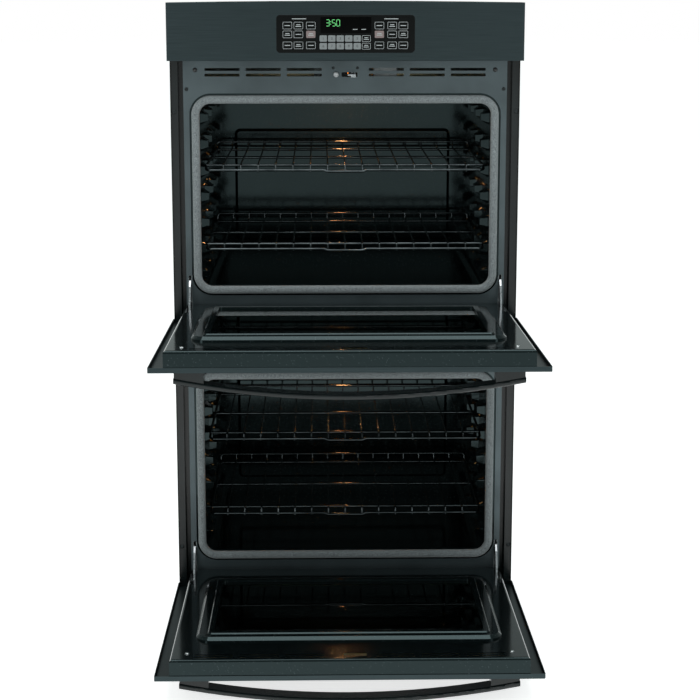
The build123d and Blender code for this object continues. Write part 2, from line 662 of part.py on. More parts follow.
# --- racks --------------------------------------------------------------------------------------
def rack(height):
    """Wire shelf: a closed perimeter rod, three cross bars and fifteen wires turned up at the back."""
    low, grip, lift = height - 8, height - 11, height + 18
    right = [
        (46, RACK_FRONT, low),
        (RACK_HALF, RACK_FRONT, low),
        (RACK_HALF, RACK_FRONT + 30, height),
        (RACK_HALF, RACK_BACK - 6, height),
        (RACK_HALF, RACK_BACK, lift),
    ]
    left = [(-x, y, z) for x, y, z in reversed(right)]
    dip = [(-38, RACK_FRONT - 2, grip), (38, RACK_FRONT - 2, grip)]
    radii = [8, 8, 18, 10, 5, 5, 5, 5, 10, 18, 8, 8]
    perimeter = tube(left + dip + right, radii, RAIL_R, close=True)
    middle = (RACK_FRONT + RACK_BACK) / 2
    places = (RACK_FRONT + 24, middle, RACK_BACK - 12)
    bars = [rod_x(RAIL_R, -RACK_HALF, RACK_HALF, y, height) for y in places]
    frame = union([perimeter, *bars])
    top = height + WIRE_LIFT
    profile = [
        (0, RACK_BACK - 1.2, lift + 0.4),
        (0, RACK_BACK - 5.0, top),
        (0, RACK_FRONT + 7, top),
        (0, RACK_FRONT - 1.2, low - 4.0),
    ]
    wire = tube(profile, [3.5, 6], WIRE_R)
    first = -(WIRES - 1) / 2 * WIRE_PITCH
    wires = [Pos(first + n * WIRE_PITCH, 0, 0) * wire for n in range(WIRES)]
    return union([frame, *wires])


# --- control panel and electrics ------------------------------------------------------------------
CROWN = 3.3  # rise of the panel's top edge at its middle
TOUCH_HALF = 146.0
TOUCH_DROP = (29.0, 108.0)


def control_fascia():
    """Hollow front of the control bay. Its top edge rises slightly to the middle."""
    half, low, high = OVERALL_W / 2, OVERALL_H - PANEL_H, OVERALL_H
    depth = -2 - DOOR_OUT_Y

    def outline(inset):
        h, bottom, top = half - inset, low + inset, high - inset
        return make_face(
            Curve()
            + Line((-h, bottom), (h, bottom))
            + Line((h, bottom), (h, top - CROWN))
            + ThreePointArc((h, top - CROWN), (0, top), (-h, top - CROWN))
            + Line((-h, top - CROWN), (-h, bottom))
        )

    front = Plane(origin=(0, -2, 0), x_dir=(1, 0, 0), z_dir=(0, -1, 0))
    shell = extrude(front * outline(0), amount=depth)
    rim = [e for e in shell.edges() if abs(e.center().Y - DOOR_OUT_Y) < 0.01]
    shell = fillet(rim, 1.4)
    shell -= extrude(front * outline(SHEET), amount=depth - SHEET)
    shell -= block(-half + 2, half - 2, FRAME_Y - 2, 1, low - 1, low + 3)
    window_low, window_high = high - TOUCH_DROP[1] + 3, high - TOUCH_DROP[0] - 3
    window_half = TOUCH_HALF - 3
    return shell - slab(-window_half, window_half, DOOR_OUT_Y - 2, DOOR_OUT_Y + 4, window_low, window_high, 5)


def touch_panel():
    """Glossy keypad with the clock window, set into the fascia."""
    low, high = OVERALL_H - TOUCH_DROP[1], OVERALL_H - TOUCH_DROP[0]
    face = slab(-TOUCH_HALF, TOUCH_HALF, DOOR_OUT_Y - 1.2, DOOR_OUT_Y, low, high, 8)
    face = fillet([e for e in face.edges() if abs(e.center().Y - (DOOR_OUT_Y - 1.2)) < 0.01], 0.8)
    boss = slab(-TOUCH_HALF + 4, TOUCH_HALF - 4, DOOR_OUT_Y, DOOR_OUT_Y + 4, low + 4, high - 4, 4)
    return face + boss


def control_board():
    """Main circuit board with the clock display, relays, transformer and connectors."""
    low = OVERALL_H - 112
    board = block(-135, 135, -50, -48.4, low, low + 84)
    parts = [board, block(-52, 52, -57.9, -49.9, low + 46, low + 80)]
    for n in range(6):
        parts.append(block(-122 + 26 * n, -102 + 26 * n, -48.5, -30, low + 8, low + 36))
    parts.append(block(66, 112, -48.5, -18, low + 12, low + 56))
    parts += [block(x, x + 30, -48.5, -38, low + 64, low + 76) for x in (-120, -70, 30)]
    return union(parts)


FAN_Y, FAN_Z = 330.0, 1238.0
FAN_FOOT_Z = SECTIONS["upper"] - CEILING + 24.0  # just above the upper cavity's blanket
WHEEL_R, WHEEL_H = 62.0, 34.0
BLADES = 24


def cooling_fan():
    """Blower scroll that feeds the upper air slots, and its motor on top."""
    outer = rod_z(76, 0, FAN_Y, FAN_Z - 22, FAN_Z + 22)
    mouth = block(-76, 20, FAN_Y - 170, FAN_Y, FAN_Z - 22, FAN_Z + 22)
    scroll = outer + mouth
    scroll -= rod_z(73, 0, FAN_Y, FAN_Z - 20.5, FAN_Z + 20.5)
    scroll -= block(-74.5, 18.5, FAN_Y - 172, FAN_Y - 20, FAN_Z - 20.5, FAN_Z + 20.5)
    scroll -= rod_z(44, 0, FAN_Y, FAN_Z - 25, FAN_Z - 18)
    scroll -= rod_z(8, 0, FAN_Y, FAN_Z + 18, FAN_Z + 25)
    feet = [block(x - 8, x + 8, FAN_Y + y - 8, FAN_Y + y + 8, FAN_FOOT_Z, FAN_Z - 22) for x, y in FAN_FEET]
    motor = rod_z(34, 0, FAN_Y, FAN_Z + 22, FAN_Z + 64)
    motor += rod_z(12, 0, FAN_Y, FAN_Z + 64, FAN_Z + 72)
    motor -= rod_z(5.1, 0, FAN_Y, FAN_Z + 20, FAN_Z + 60)
    return group([union([scroll, *feet]), motor])


FAN_FEET = ((-60, -130), (0, -130), (-54, 36), (54, 36))


def fan_wheel():
    """Drum of curved blades on a back plate, with its shaft."""
    plate = rod_z(WHEEL_R, 0, FAN_Y, FAN_Z + 14.5, FAN_Z + 16)
    ring = rod_z(WHEEL_R, 0, FAN_Y, FAN_Z - 18, FAN_Z - 15) - rod_z(52, 0, FAN_Y, FAN_Z - 20, FAN_Z - 13)
    hub = rod_z(11, 0, FAN_Y, FAN_Z + 2, FAN_Z + 15) + rod_z(5.0, 0, FAN_Y, FAN_Z + 10, FAN_Z + 50)
    blades = []
    for n in range(BLADES):
        angle = 2 * pi * n / BLADES
        place = Pos(57 * cos(angle), FAN_Y + 57 * sin(angle), FAN_Z - 0.5)
        blades.append(place * Rot(0, 0, 360 * n / BLADES + 32) * Box(11, 1.0, WHEEL_H))
    return union([plate, ring, hub, *blades])


GLAND_R = 9.5
GLAND_L = 22.0


def junction_box():
    """Supply terminal box inside the back panel, with its terminal block and a conduit gland."""
    x, z, back = JUNCTION_X, JUNCTION_Z, CHASSIS_D - 2.2
    box = block(x - 55, x + 55, back - 48, back, z - 32, z + 32)
    box -= block(x - 53.8, x + 53.8, back - 46.8, back - SHEET, z - 30.8, z + 30.8)
    box -= rod_y(14.0, x, back - 4, back + 2, z)
    terminals = block(x - 34, x + 34, back - 46.6, back - 34, z - 12, z + 12)
    for n in range(3):
        terminals -= rod_y(4.0, x - 22 + 22 * n, back - 38, back - 30, z)
    gland = rod_y(13.8, x, back - 8, back - 8 + GLAND_L, z) + rod_y(18, x, back + 3.6, back + 7, z)
    gland -= rod_y(GLAND_R, x, back - 10, back + GLAND_L, z)
    return group([box, terminals, gland])


def chassis_screws():
    """Screws of the vent panels and of the back panel."""
    parts = [turned_screw(x, CHASSIS_D - 2 + SHEET, z, 3.0) for x, z in BACK_SCREWS]
    y = FRAME_Y - SHEET
    for section in SECTIONS.values():
        for side in SIDES:
            parts.append(screw(side * CORNER_SCREW_X, y, section - CORNER_SCREW_DROP, length=5.0))
            small = {"head_r": 3.2, "head_t": 1.6, "length": 4.0}
            parts.append(screw(side * PANEL_SCREW_X, y, section - PANEL_SCREW_DROP, **small))
    return group(parts)


# --- assembly -----------------------------------------------------------------------------------
def turned_open(shape, section):
    """A door piece, drawn closed, turned about the hinge line to where the open door rests."""
    pivot = section - PIVOT_DROP
    return Pos(0, PIVOT_Y, pivot) * Rot(DOOR_OPEN, 0, 0) * Pos(0, -PIVOT_Y, -pivot) * shape


DOOR_PIECES = {
    "door_skin": door_skin,
    "door_outer_glass": outer_glass,
    "door_glass_pack": glass_pack,
    "door_inner_glass": inner_glass,
    "door_liner": door_liner,
    "door_window_frame": window_frame,
    "door_insulation": door_insulation,
    "door_handle": handle,
    "door_hinges": lambda section: group([door_hinge(section, side) for side in SIDES]),
    "door_screws": door_screws,
}


def build_nodes():
    """Every node of the oven, by name."""
    both = list(SECTIONS.values())
    nodes = {
        "base_pan": base_pan(),
        "left_side_panel": side_panel(-1),
        "right_side_panel": side_panel(1),
        "back_panel": back_panel(),
        "top_panel": top_panel(),
        "front_frame": front_frame(),
        "left_side_trim": side_trim(-1),
        "right_side_trim": side_trim(1),
        "middle_door_rail": door_rail(SECTIONS["upper"] - TRIM_DROP, 20),
        "bottom_door_rail": door_rail(SECTIONS["lower"] - TRIM_DROP, 34),
        "cavity_insulation": group([insulation(s) for s in both]),
        "broil_elements": group([heater(s, BROIL_DROP, 110.0) for s in both]),
        "bake_elements": group([heater(s, BAKE_DROP, 80.0) for s in both]),
        "oven_lamps": group([lamp(s) for s in both]),
        "temperature_sensors": group([temperature_sensor(s) for s in both]),
        "hinge_receivers": group([hinge_receiver(s, side) for s in both for side in SIDES]),
        "hinge_arms": group([hinge_arm(s, side) for s in both for side in SIDES]),
        "latch_units": group([latch_unit(s) for s in both]),
        "control_fascia": control_fascia(),
        "touch_panel": touch_panel(),
        "control_board": control_board(),
        "cooling_fan": cooling_fan(),
        "fan_wheel": fan_wheel(),
        "junction_box": junction_box(),
        "chassis_screws": chassis_screws(),
    }
    shelf = rack(0)
    for name, section in SECTIONS.items():
        nodes[f"{name}_vent_panel"] = vent_panel(section)
        nodes[f"{name}_cavity"] = cavity(section)
        nodes[f"{name}_gasket"] = gasket(section)
        nodes[f"{name}_latch_hook"] = latch_hook(section)
        nodes[f"{name}_switch_plunger"] = switch_plunger(section)
        for place, drop in RACK_DROPS.items():
            nodes[f"{name}_oven_{place}_rack"] = Pos(0, 0, section - drop) * shelf
        for piece, make in DOOR_PIECES.items():
            nodes[f"{name}_{piece}"] = turned_open(make(section), section)
    return nodes


def main():
    os.makedirs("parts", exist_ok=True)
    for name, shape in build_nodes().items():
        export_step(shape, f"parts/{name}.step")


main()
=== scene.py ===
import json
import math

import bmesh
import bpy
from mathutils import Matrix, Vector


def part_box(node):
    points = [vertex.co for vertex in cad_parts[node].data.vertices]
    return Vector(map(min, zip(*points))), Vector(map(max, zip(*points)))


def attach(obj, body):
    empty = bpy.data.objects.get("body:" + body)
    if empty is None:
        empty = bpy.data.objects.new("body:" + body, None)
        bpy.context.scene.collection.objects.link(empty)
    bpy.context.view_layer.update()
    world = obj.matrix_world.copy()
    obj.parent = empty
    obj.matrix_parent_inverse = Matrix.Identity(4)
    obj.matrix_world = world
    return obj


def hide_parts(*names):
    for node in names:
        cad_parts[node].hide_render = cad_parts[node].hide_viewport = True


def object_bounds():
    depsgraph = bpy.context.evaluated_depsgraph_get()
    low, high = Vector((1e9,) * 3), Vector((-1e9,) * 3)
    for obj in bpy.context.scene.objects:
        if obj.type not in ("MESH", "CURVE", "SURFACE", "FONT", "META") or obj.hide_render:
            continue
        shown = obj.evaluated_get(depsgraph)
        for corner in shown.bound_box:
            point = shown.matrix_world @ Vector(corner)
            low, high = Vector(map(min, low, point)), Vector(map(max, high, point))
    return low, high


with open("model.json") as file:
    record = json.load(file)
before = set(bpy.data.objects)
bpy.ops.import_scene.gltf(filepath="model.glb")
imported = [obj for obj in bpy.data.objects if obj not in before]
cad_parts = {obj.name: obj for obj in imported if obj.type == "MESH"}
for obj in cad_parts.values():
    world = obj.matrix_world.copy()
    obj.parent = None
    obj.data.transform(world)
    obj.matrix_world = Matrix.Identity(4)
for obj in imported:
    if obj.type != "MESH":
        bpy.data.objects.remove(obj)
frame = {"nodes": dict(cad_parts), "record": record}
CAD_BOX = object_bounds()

bl_info = {
    "name": "Double Wall Oven Finish",
    "version": (1, 0, 0),
    "blender": (4, 5, 0),
    "location": "View3D > Sidebar > Wall Oven",
    "description": "Finishes a built-in double wall oven: enamel, keypad, door seals, stage and lights",
    "category": "Object",
}

MM = 0.001
OVENS = ("upper", "lower")
CHASSIS = "chassis"


# --- small tools --------------------------------------------------------------------------------
def colour(hex_value, alpha=1.0):
    """An sRGB hex colour as the linear RGBA that shaders take."""
    channels = [int(hex_value[i : i + 2], 16) / 255 for i in (1, 3, 5)]
    linear = [c / 12.92 if c <= 0.04045 else ((c + 0.055) / 1.055) ** 2.4 for c in channels]
    return (*linear, alpha)


def add_node(tree, kind, inputs=None, **settings):
    """Adds a node. Inputs are plain values, or (node, output name) pairs to link."""
    made = tree.nodes.new(kind)
    for name, value in settings.items():
        setattr(made, name, value)
    for name, value in (inputs or {}).items():
        if isinstance(value, tuple) and isinstance(value[0], bpy.types.Node):
            tree.links.new(value[0].outputs[value[1]], made.inputs[name])
        else:
            made.inputs[name].default_value = value
    return made


def new_material(name, **plain):
    """A material with a Principled shader whose sockets hold plain values. Returns both and the tree."""
    mat = bpy.data.materials.new(name)
    mat.use_nodes = True
    tree = mat.node_tree
    tree.nodes.clear()
    sockets = {key.replace("_", " ").title(): value for key, value in plain.items()}
    if "Ior" in sockets:
        sockets["IOR"] = sockets.pop("Ior")
    if "Specular Ior Level" in sockets:
        sockets["Specular IOR Level"] = sockets.pop("Specular Ior Level")
    shader = add_node(tree, "ShaderNodeBsdfPrincipled", sockets)
    add_node(tree, "ShaderNodeOutputMaterial", {"Surface": (shader, "BSDF")})
    return mat, tree, shader


def object_space(tree, scale=(1.0, 1.0, 1.0)):
    """The piece's own coordinates in metres, scaled."""
    place = add_node(tree, "ShaderNodeTexCoord")
    return add_node(tree, "ShaderNodeMapping", {"Vector": (place, "Object"), "Scale": scale})


def grain(tree, size_mm, stretch=(1.0, 1.0, 1.0), detail=3.0):
    """Noise whose cells are size_mm across, longer along an axis whose stretch is above 1."""
    scale = tuple(1.0 / s for s in stretch)
    space = object_space(tree, scale)
    return add_node(
        tree,
        "ShaderNodeTexNoise",
        {"Vector": (space, "Vector"), "Scale": 1.0 / (size_mm * MM), "Detail": detail},
    )


def ramp(tree, source, output, low, high, dark, light):
    """Two colours with source's value between low and high."""
    made = add_node(tree, "ShaderNodeValToRGB", {"Fac": (source, output)})
    made.color_ramp.elements[0].position = low
    made.color_ramp.elements[1].position = high
    made.color_ramp.elements[0].color = dark
    made.color_ramp.elements[1].color = light
    return made


def vary_roughness(tree, shader, source, output, low, high):
    """Roughness that follows a pattern between two values."""
    spread = add_node(
        tree, "ShaderNodeMapRange", {"Value": (source, output), "To Min": low, "To Max": high}
    )
    tree.links.new(spread.outputs["Result"], shader.inputs["Roughness"])


def relief(tree, shader, source, output, depth_mm, strength=1.0):
    """Bump from a pattern."""
    bump = add_node(
        tree,
        "ShaderNodeBump",
        {"Height": (source, output), "Distance": depth_mm * MM, "Strength": strength},
    )
    tree.links.new(bump.outputs["Normal"], shader.inputs["Normal"])


# --- materials ----------------------------------------------------------------------------------
def porcelain_enamel():
    """Porcelain enamel, sprayed and fired on steel: a glassy black with fine grey specks and faint ripple."""
    mat, tree, shader = new_material(
        "porcelain_enamel", roughness=0.09, specular_ior_level=0.5, specular_tint=colour("#b4d2d5")
    )
    specks = add_node(
        tree,
        "ShaderNodeTexVoronoi",
        {"Vector": (object_space(tree), "Vector"), "Scale": 1.0 / (5.0 * MM)},
    )
    ground = colour(bpy.context.scene.oven_finish.enamel)
    tint = ramp(tree, specks, "Distance", 0.10, 0.17, colour("#3c4446"), ground)
    tree.links.new(tint.outputs["Color"], shader.inputs["Base Color"])
    ripple = grain(tree, 9.0, detail=2.0)
    relief(tree, shader, ripple, "Fac", 0.05, 0.35)
    vary_roughness(tree, shader, grain(tree, 60.0), "Fac", 0.06, 0.14)
    return mat


def black_stainless():
    """Stainless steel with a dark tinted coat, brushed from side to side: soft streaks in its shine."""
    mat, tree, shader = new_material("black_stainless", metallic=1.0, anisotropic=0.5)
    streaks = grain(tree, 0.9, stretch=(90.0, 1.0, 1.0), detail=4.0)
    tone = colour(bpy.context.scene.oven_finish.stainless)
    lighter = tuple(min(1.0, c * 1.28) for c in tone[:3]) + (1.0,)
    tint = ramp(tree, streaks, "Fac", 0.30, 0.70, tone, lighter)
    tree.links.new(tint.outputs["Color"], shader.inputs["Base Color"])
    vary_roughness(tree, shader, streaks, "Fac", 0.26, 0.42)
    relief(tree, shader, streaks, "Fac", 0.02, 0.25)
    return mat


def baked_paint():
    """Metallic polyester powder coat, baked on sheet steel: satin charcoal with a fine orange peel."""
    mat, tree, shader = new_material("baked_powder_coat", metallic=0.75)
    peel = grain(tree, 1.6, detail=2.0)
    patches = grain(tree, 120.0)
    tone = colour(bpy.context.scene.oven_finish.frame_paint)
    lighter = tuple(c * 1.35 for c in tone[:3]) + (1.0,)
    tint = ramp(tree, patches, "Fac", 0.35, 0.65, tone, lighter)
    tree.links.new(tint.outputs["Color"], shader.inputs["Base Color"])
    relief(tree, shader, peel, "Fac", 0.04, 0.3)
    vary_roughness(tree, shader, peel, "Fac", 0.28, 0.40)
    return mat


def galvanised_sheet():
    """Hot-dip galvanised steel: dull zinc crystals of about 12 mm, each a slightly different grey."""
    mat, tree, shader = new_material("galvanised_sheet", metallic=0.9)
    crystals = add_node(
        tree, "ShaderNodeTexVoronoi", {"Vector": (object_space(tree), "Vector"), "Scale": 1.0 / (12.0 * MM)}
    )
    tint = ramp(tree, crystals, "Color", 0.1, 0.9, colour("#8d9294"), colour("#b3b8ba"))
    tree.links.new(tint.outputs["Color"], shader.inputs["Base Color"])
    vary_roughness(tree, shader, crystals, "Color", 0.34, 0.52)
    relief(tree, shader, grain(tree, 2.0), "Fac", 0.03, 0.2)
    return mat


def stamped_stainless():
    """Stainless steel, stamped and tumbled: bright grey with soft scuffs."""
    mat, tree, shader = new_material("stamped_stainless", metallic=1.0)
    scuffs = grain(tree, 3.0, stretch=(1.0, 4.0, 1.0), detail=5.0)
    tint = ramp(tree, scuffs, "Fac", 0.3, 0.7, colour("#8e9396"), colour("#b9bdc0"))
    tree.links.new(tint.outputs["Color"], shader.inputs["Base Color"])
    vary_roughness(tree, shader, scuffs, "Fac", 0.20, 0.38)
    relief(tree, shader, scuffs, "Fac", 0.03, 0.25)
    return mat


def zinc_plate():
    """Steel with bright zinc plate: silvery with faint cloudy patches."""
    mat, tree, shader = new_material("bright_zinc_plate", metallic=1.0)
    clouds = grain(tree, 4.0)
    tint = ramp(tree, clouds, "Fac", 0.3, 0.7, colour("#c3c8ca"), colour("#e4e7e8"))
    tree.links.new(tint.outputs["Color"], shader.inputs["Base Color"])
    vary_roughness(tree, shader, clouds, "Fac", 0.14, 0.28)
    return mat


def rack_plating():
    """Drawn steel wire with nickel-chrome plate: mirror-like with faint drawing lines, with a painted dark
    reflection in its base colour, dark greys in patches that stand in for the dark surroundings the wire
    mirrors.
    """
    mat, tree, shader = new_material("plated_rack_wire", metallic=1.0)
    dark_reflection_patches = grain(tree, 45.0)
    # Painted dark reflection: both greys are far darker than chrome and stand in for the dark surroundings
    # that the wire mirrors.
    tint = ramp(tree, dark_reflection_patches, "Fac", 0.3, 0.7, colour("#3b4143"), colour("#5f6668"))
    tree.links.new(tint.outputs["Color"], shader.inputs["Base Color"])
    vary_roughness(tree, shader, grain(tree, 1.2, stretch=(6.0, 6.0, 1.0)), "Fac", 0.10, 0.24)
    return mat


def element_sheath():
    """Nickel alloy heater sheath, oxidised by heat: matt charcoal with brown patches."""
    mat, tree, shader = new_material("oxidised_element_sheath", metallic=0.6)
    scale = grain(tree, 7.0, detail=5.0)
    tint = ramp(tree, scale, "Fac", 0.35, 0.68, colour("#26282a"), colour("#4a423b"))
    tree.links.new(tint.outputs["Color"], shader.inputs["Base Color"])
    vary_roughness(tree, shader, scale, "Fac", 0.45, 0.7)
    relief(tree, shader, scale, "Fac", 0.05, 0.3)
    return mat


def glass_braid():
    """Glass-fibre yarn, braided over a wire core: pale grey threads, with a dark tone in random noise that is
    painted shade of the gaps between the strands.
    """
    mat, tree, shader = new_material(
        "glass_fibre_braid", roughness=0.82, sheen_weight=0.35, sheen_roughness=0.5
    )
    yarn = grain(tree, 1.4, detail=4.0)
    # Painted shade: the dark tone stands in for the shade in the gaps between the strands.
    tint = ramp(tree, yarn, "Fac", 0.32, 0.66, colour("#383e40"), colour(bpy.context.scene.oven_finish.seal))
    tree.links.new(tint.outputs["Color"], shader.inputs["Base Color"])
    relief(tree, shader, yarn, "Fac", 0.25, 0.6)
    return mat


def glass_wool():
    """Glass wool, spun and bonded: pale yellow matted fibre."""
    mat, tree, shader = new_material("bonded_glass_wool", roughness=0.95, sheen_weight=0.3)
    fibres = grain(tree, 3.0, stretch=(5.0, 1.0, 1.0), detail=6.0)
    tint = ramp(tree, fibres, "Fac", 0.3, 0.7, colour("#c9b67b"), colour("#ece0b4"))
    tree.links.new(tint.outputs["Color"], shader.inputs["Base Color"])
    relief(tree, shader, fibres, "Fac", 1.0, 0.7)
    return mat


def door_glass():
    """Heat-reflecting float glass with a grey-green tint: dark, clear and mirror smooth."""
    mat, tree, shader = new_material(
        "tinted_float_glass", ior=1.52, transmission_weight=1.0, coat_weight=0.2, coat_roughness=0.0
    )
    film = grain(tree, 90.0, detail=2.0)
    tint = ramp(tree, film, "Fac", 0.3, 0.7, colour("#46584f"), colour("#54665d"))
    tree.links.new(tint.outputs["Color"], shader.inputs["Base Color"])
    vary_roughness(tree, shader, film, "Fac", 0.0, 0.03)
    return mat


def keypad_film():
    """Polycarbonate overlay, printed behind and glossy: deep black with very fine ripple."""
    mat, tree, shader = new_material(
        "polycarbonate_overlay", base_color=colour("#030505"), specular_ior_level=0.15
    )
    ripple = grain(tree, 14.0, detail=1.0)
    vary_roughness(tree, shader, ripple, "Fac", 0.10, 0.20)
    relief(tree, shader, ripple, "Fac", 0.04, 0.25)
    return mat


def printed_ink(name, hex_value):
    """Screen-printed ink: flat and slightly uneven in cover."""
    mat, tree, shader = new_material(name, roughness=0.5)
    cover = grain(tree, 1.0)
    tone = colour(hex_value)
    thin = tuple(c * 0.8 for c in tone[:3]) + (1.0,)
    tint = ramp(tree, cover, "Fac", 0.3, 0.6, thin, tone)
    tree.links.new(tint.outputs["Color"], shader.inputs["Base Color"])
    return mat


def glow(name, hex_value, strength):
    """A lit surface: a display segment or a lamp's glass."""
    mat, tree, shader = new_material(
        name, base_color=colour(hex_value), emission_color=colour(hex_value), emission_strength=strength
    )
    vary_roughness(tree, shader, grain(tree, 2.0), "Fac", 0.25, 0.4)
    return mat


def circuit_board():
    """Glass-epoxy board with green solder mask: satin green with faint copper traces under it."""
    mat, tree, shader = new_material("solder_masked_board")
    traces = add_node(
        tree,
        "ShaderNodeTexBrick",
        {"Vector": (object_space(tree), "Vector"), "Scale": 1.0 / (9.0 * MM), "Mortar Size": 0.03},
    )
    traces.inputs["Color1"].default_value = colour("#1c4a2c")
    traces.inputs["Color2"].default_value = colour("#173f26")
    traces.inputs["Mortar"].default_value = colour("#3c6a3c")
    tree.links.new(traces.outputs["Color"], shader.inputs["Base Color"])
    vary_roughness(tree, shader, traces, "Fac", 0.35, 0.5)
    return mat


def moulded_nylon():
    """Glass-filled nylon, moulded: matt grey with a fine flow grain."""
    mat, tree, shader = new_material("moulded_nylon")
    flow = grain(tree, 2.5, stretch=(1.0, 3.0, 1.0))
    tint = ramp(tree, flow, "Fac", 0.3, 0.7, colour("#8c9092"), colour("#a9adaf"))
    tree.links.new(tint.outputs["Color"], shader.inputs["Base Color"])
    vary_roughness(tree, shader, flow, "Fac", 0.4, 0.55)
    return mat


def black_oxide():
    """Steel blackened in hot salts and oiled: near black with a dull sheen and rubbed grey patches."""
    mat, tree, shader = new_material("black_oxide_steel", metallic=0.7)
    rubbed = grain(tree, 1.5)
    tint = ramp(tree, rubbed, "Fac", 0.35, 0.75, colour("#15191a"), colour("#3a4041"))
    tree.links.new(tint.outputs["Color"], shader.inputs["Base Color"])
    vary_roughness(tree, shader, rubbed, "Fac", 0.35, 0.55)
    return mat


def gloss_paint():
    """Two-pack enamel paint, sprayed on the handles and side trims: deep gloss black, slight orange peel."""
    mat, tree, shader = new_material("gloss_black_paint", specular_ior_level=0.35)
    peel = grain(tree, 2.2, detail=2.0)
    tint = ramp(tree, grain(tree, 80.0), "Fac", 0.35, 0.65, colour("#0c1213"), colour("#131a1b"))
    tree.links.new(tint.outputs["Color"], shader.inputs["Base Color"])
    vary_roughness(tree, shader, peel, "Fac", 0.16, 0.26)
    relief(tree, shader, peel, "Fac", 0.03, 0.25)
    return mat


def studio_floor():
    """Seamless paper, lit from below: matt off-white with barely visible fibre."""
    mat, tree, shader = new_material(
        "seamless_paper",
        roughness=0.9,
        specular_ior_level=0.2,
        emission_color=colour("#ffffff"),
        emission_strength=0.7,
    )
    fibre = grain(tree, 4.0)
    tint = ramp(tree, fibre, "Fac", 0.2, 0.8, colour("#f1f1f0"), colour("#f7f7f6"))
    tree.links.new(tint.outputs["Color"], shader.inputs["Base Color"])
    return mat


SLOT_MATERIALS = {
    "galvanised_steel": galvanised_sheet,
    "black_trim_paint": baked_paint,
    "dark_stainless": black_stainless,
    "glass_wool": glass_wool,
    "element_sheath": element_sheath,
    "lamp_glass": lambda: glow("warm_lamp_glass", "#ffa050", 5.0),
    "stainless_steel": stamped_stainless,
    "keypad_gloss": keypad_film,
    "circuit_board": circuit_board,
    "blower_steel": stamped_stainless,
    "zinc_plate": zinc_plate,
    "black_enamel": porcelain_enamel,
    "door_glass": door_glass,
    "seal_braid": glass_braid,
    "plunger_plastic": moulded_nylon,
    "rack_chrome": rack_plating,
    "black_screws": black_oxide,
}


# --- mesh tools ---------------------------------------------------------------------------------
SHARPEST = 0.01 * MM  # smallest corner radius that an outline may have


def piece_from(name, bm, material, body, smooth=True):
    """Turns a bmesh into a finished piece that rides on a body."""
    bmesh.ops.recalc_face_normals(bm, faces=bm.faces)
    mesh = bpy.data.meshes.new(name)
    bm.to_mesh(mesh)
    bm.free()
    mesh.materials.append(material)
    if smooth:
        mesh.shade_smooth()
        mesh.set_sharp_from_angle(angle=math.radians(40))
    obj = bpy.data.objects.new(name, mesh)
    bpy.context.scene.collection.objects.link(obj)
    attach(obj, body)
    return obj


def rounded_outline(width, height, radius, steps=5):
    """Points of a rounded rectangle about the origin, anticlockwise."""
    points = []
    for quarter, (sx, sz) in enumerate(((1, 1), (-1, 1), (-1, -1), (1, -1))):
        for n in range(steps + 1):
            angle = math.pi / 2 * (quarter + n / steps)
            x = sx * (width / 2 - radius) + radius * math.cos(angle)
            z = sz * (height / 2 - radius) + radius * math.sin(angle)
            points.append((x, z))
    return points


def add_plate(bm, centre, width, height, front, back, radius, bevel=0.0):
    """Adds a rounded plate in XZ with its front face towards -Y, and a small chamfer round that face."""
    cx, cz = centre
    outer = rounded_outline(width, height, radius)
    rings = [(outer, back), (outer, front + bevel)]
    if bevel:
        inner = rounded_outline(width - 2 * bevel, height - 2 * bevel, max(radius - bevel, SHARPEST))
        rings.append((inner, front))
    loops = [[bm.verts.new((cx + x, y, cz + z)) for x, z in points] for points, y in rings]
    for a, b in zip(loops, loops[1:]):
        for n in range(len(a)):
            bm.faces.new((a[n], a[n - 1], b[n - 1], b[n]))
    bm.faces.new(loops[0])
    bm.faces.new(loops[-1])


def add_frame(bm, centre, width, height, line, front, back, radius):
    """Adds a rounded outline of a given line width, as a thin raised frame."""
    cx, cz = centre
    outer = rounded_outline(width, height, radius)
    inner = rounded_outline(width - 2 * line, height - 2 * line, max(radius - line, SHARPEST))
    loops = []
    for points, y in ((outer, back), (outer, front), (inner, front), (inner, back)):
        loops.append([bm.verts.new((cx + x, y, cz + z)) for x, z in points])
    for a, b in zip(loops, loops[1:] + loops[:1]):
        for n in range(len(a)):
            bm.faces.new((a[n], a[n - 1], b[n - 1], b[n]))


def add_tube(bm, points, radius, sides=12, closed=False):
    """Adds a round tube along points."""
    rings = []
    count = len(points)
    for n, point in enumerate(points):
        ahead = points[(n + 1) % count] if closed or n < count - 1 else point
        behind = points[n - 1] if closed or n > 0 else point
        along = (Vector(ahead) - Vector(behind)).normalized()
        side = along.cross(Vector((0.13, 0.21, 0.97))).normalized()
        up = side.cross(along)
        ring = []
        for k in range(sides):
            angle = 2 * math.pi * k / sides
            outward = math.cos(angle) * side + math.sin(angle) * up
            ring.append(bm.verts.new(Vector(point) + radius * outward))
        rings.append(ring)
    pairs = list(zip(rings, rings[1:])) + ([(rings[-1], rings[0])] if closed else [])
    for a, b in pairs:
        for k in range(sides):
            bm.faces.new((a[k], a[k - 1], b[k - 1], b[k]))
    if not closed:
        bm.faces.new(rings[0])
        bm.faces.new(rings[-1])


def add_dome(bm, centre, axis, radius, height, sides=20, rings=5):
    """Adds a low domed button whose flat back lies at centre and whose crown points along axis."""
    turn = Vector((0, 0, 1)).rotation_difference(Vector(axis)).to_matrix()
    loops = []
    for n in range(rings):
        angle = math.pi / 2 * n / rings
        r, h = radius * math.cos(angle), height * math.sin(angle)
        turns = [2 * math.pi * k / sides for k in range(sides)]
        circle = [Vector((r * math.cos(t), r * math.sin(t), h)) for t in turns]
        loops.append([bm.verts.new(Vector(centre) + turn @ point) for point in circle])
    for a, b in zip(loops, loops[1:]):
        for k in range(sides):
            bm.faces.new((a[k - 1], a[k], b[k], b[k - 1]))
    tip = bm.verts.new(Vector(centre) + turn @ Vector((0, 0, height)))
    for k in range(sides):
        bm.faces.new((loops[-1][k - 1], loops[-1][k], tip))
    bm.faces.new(loops[0])


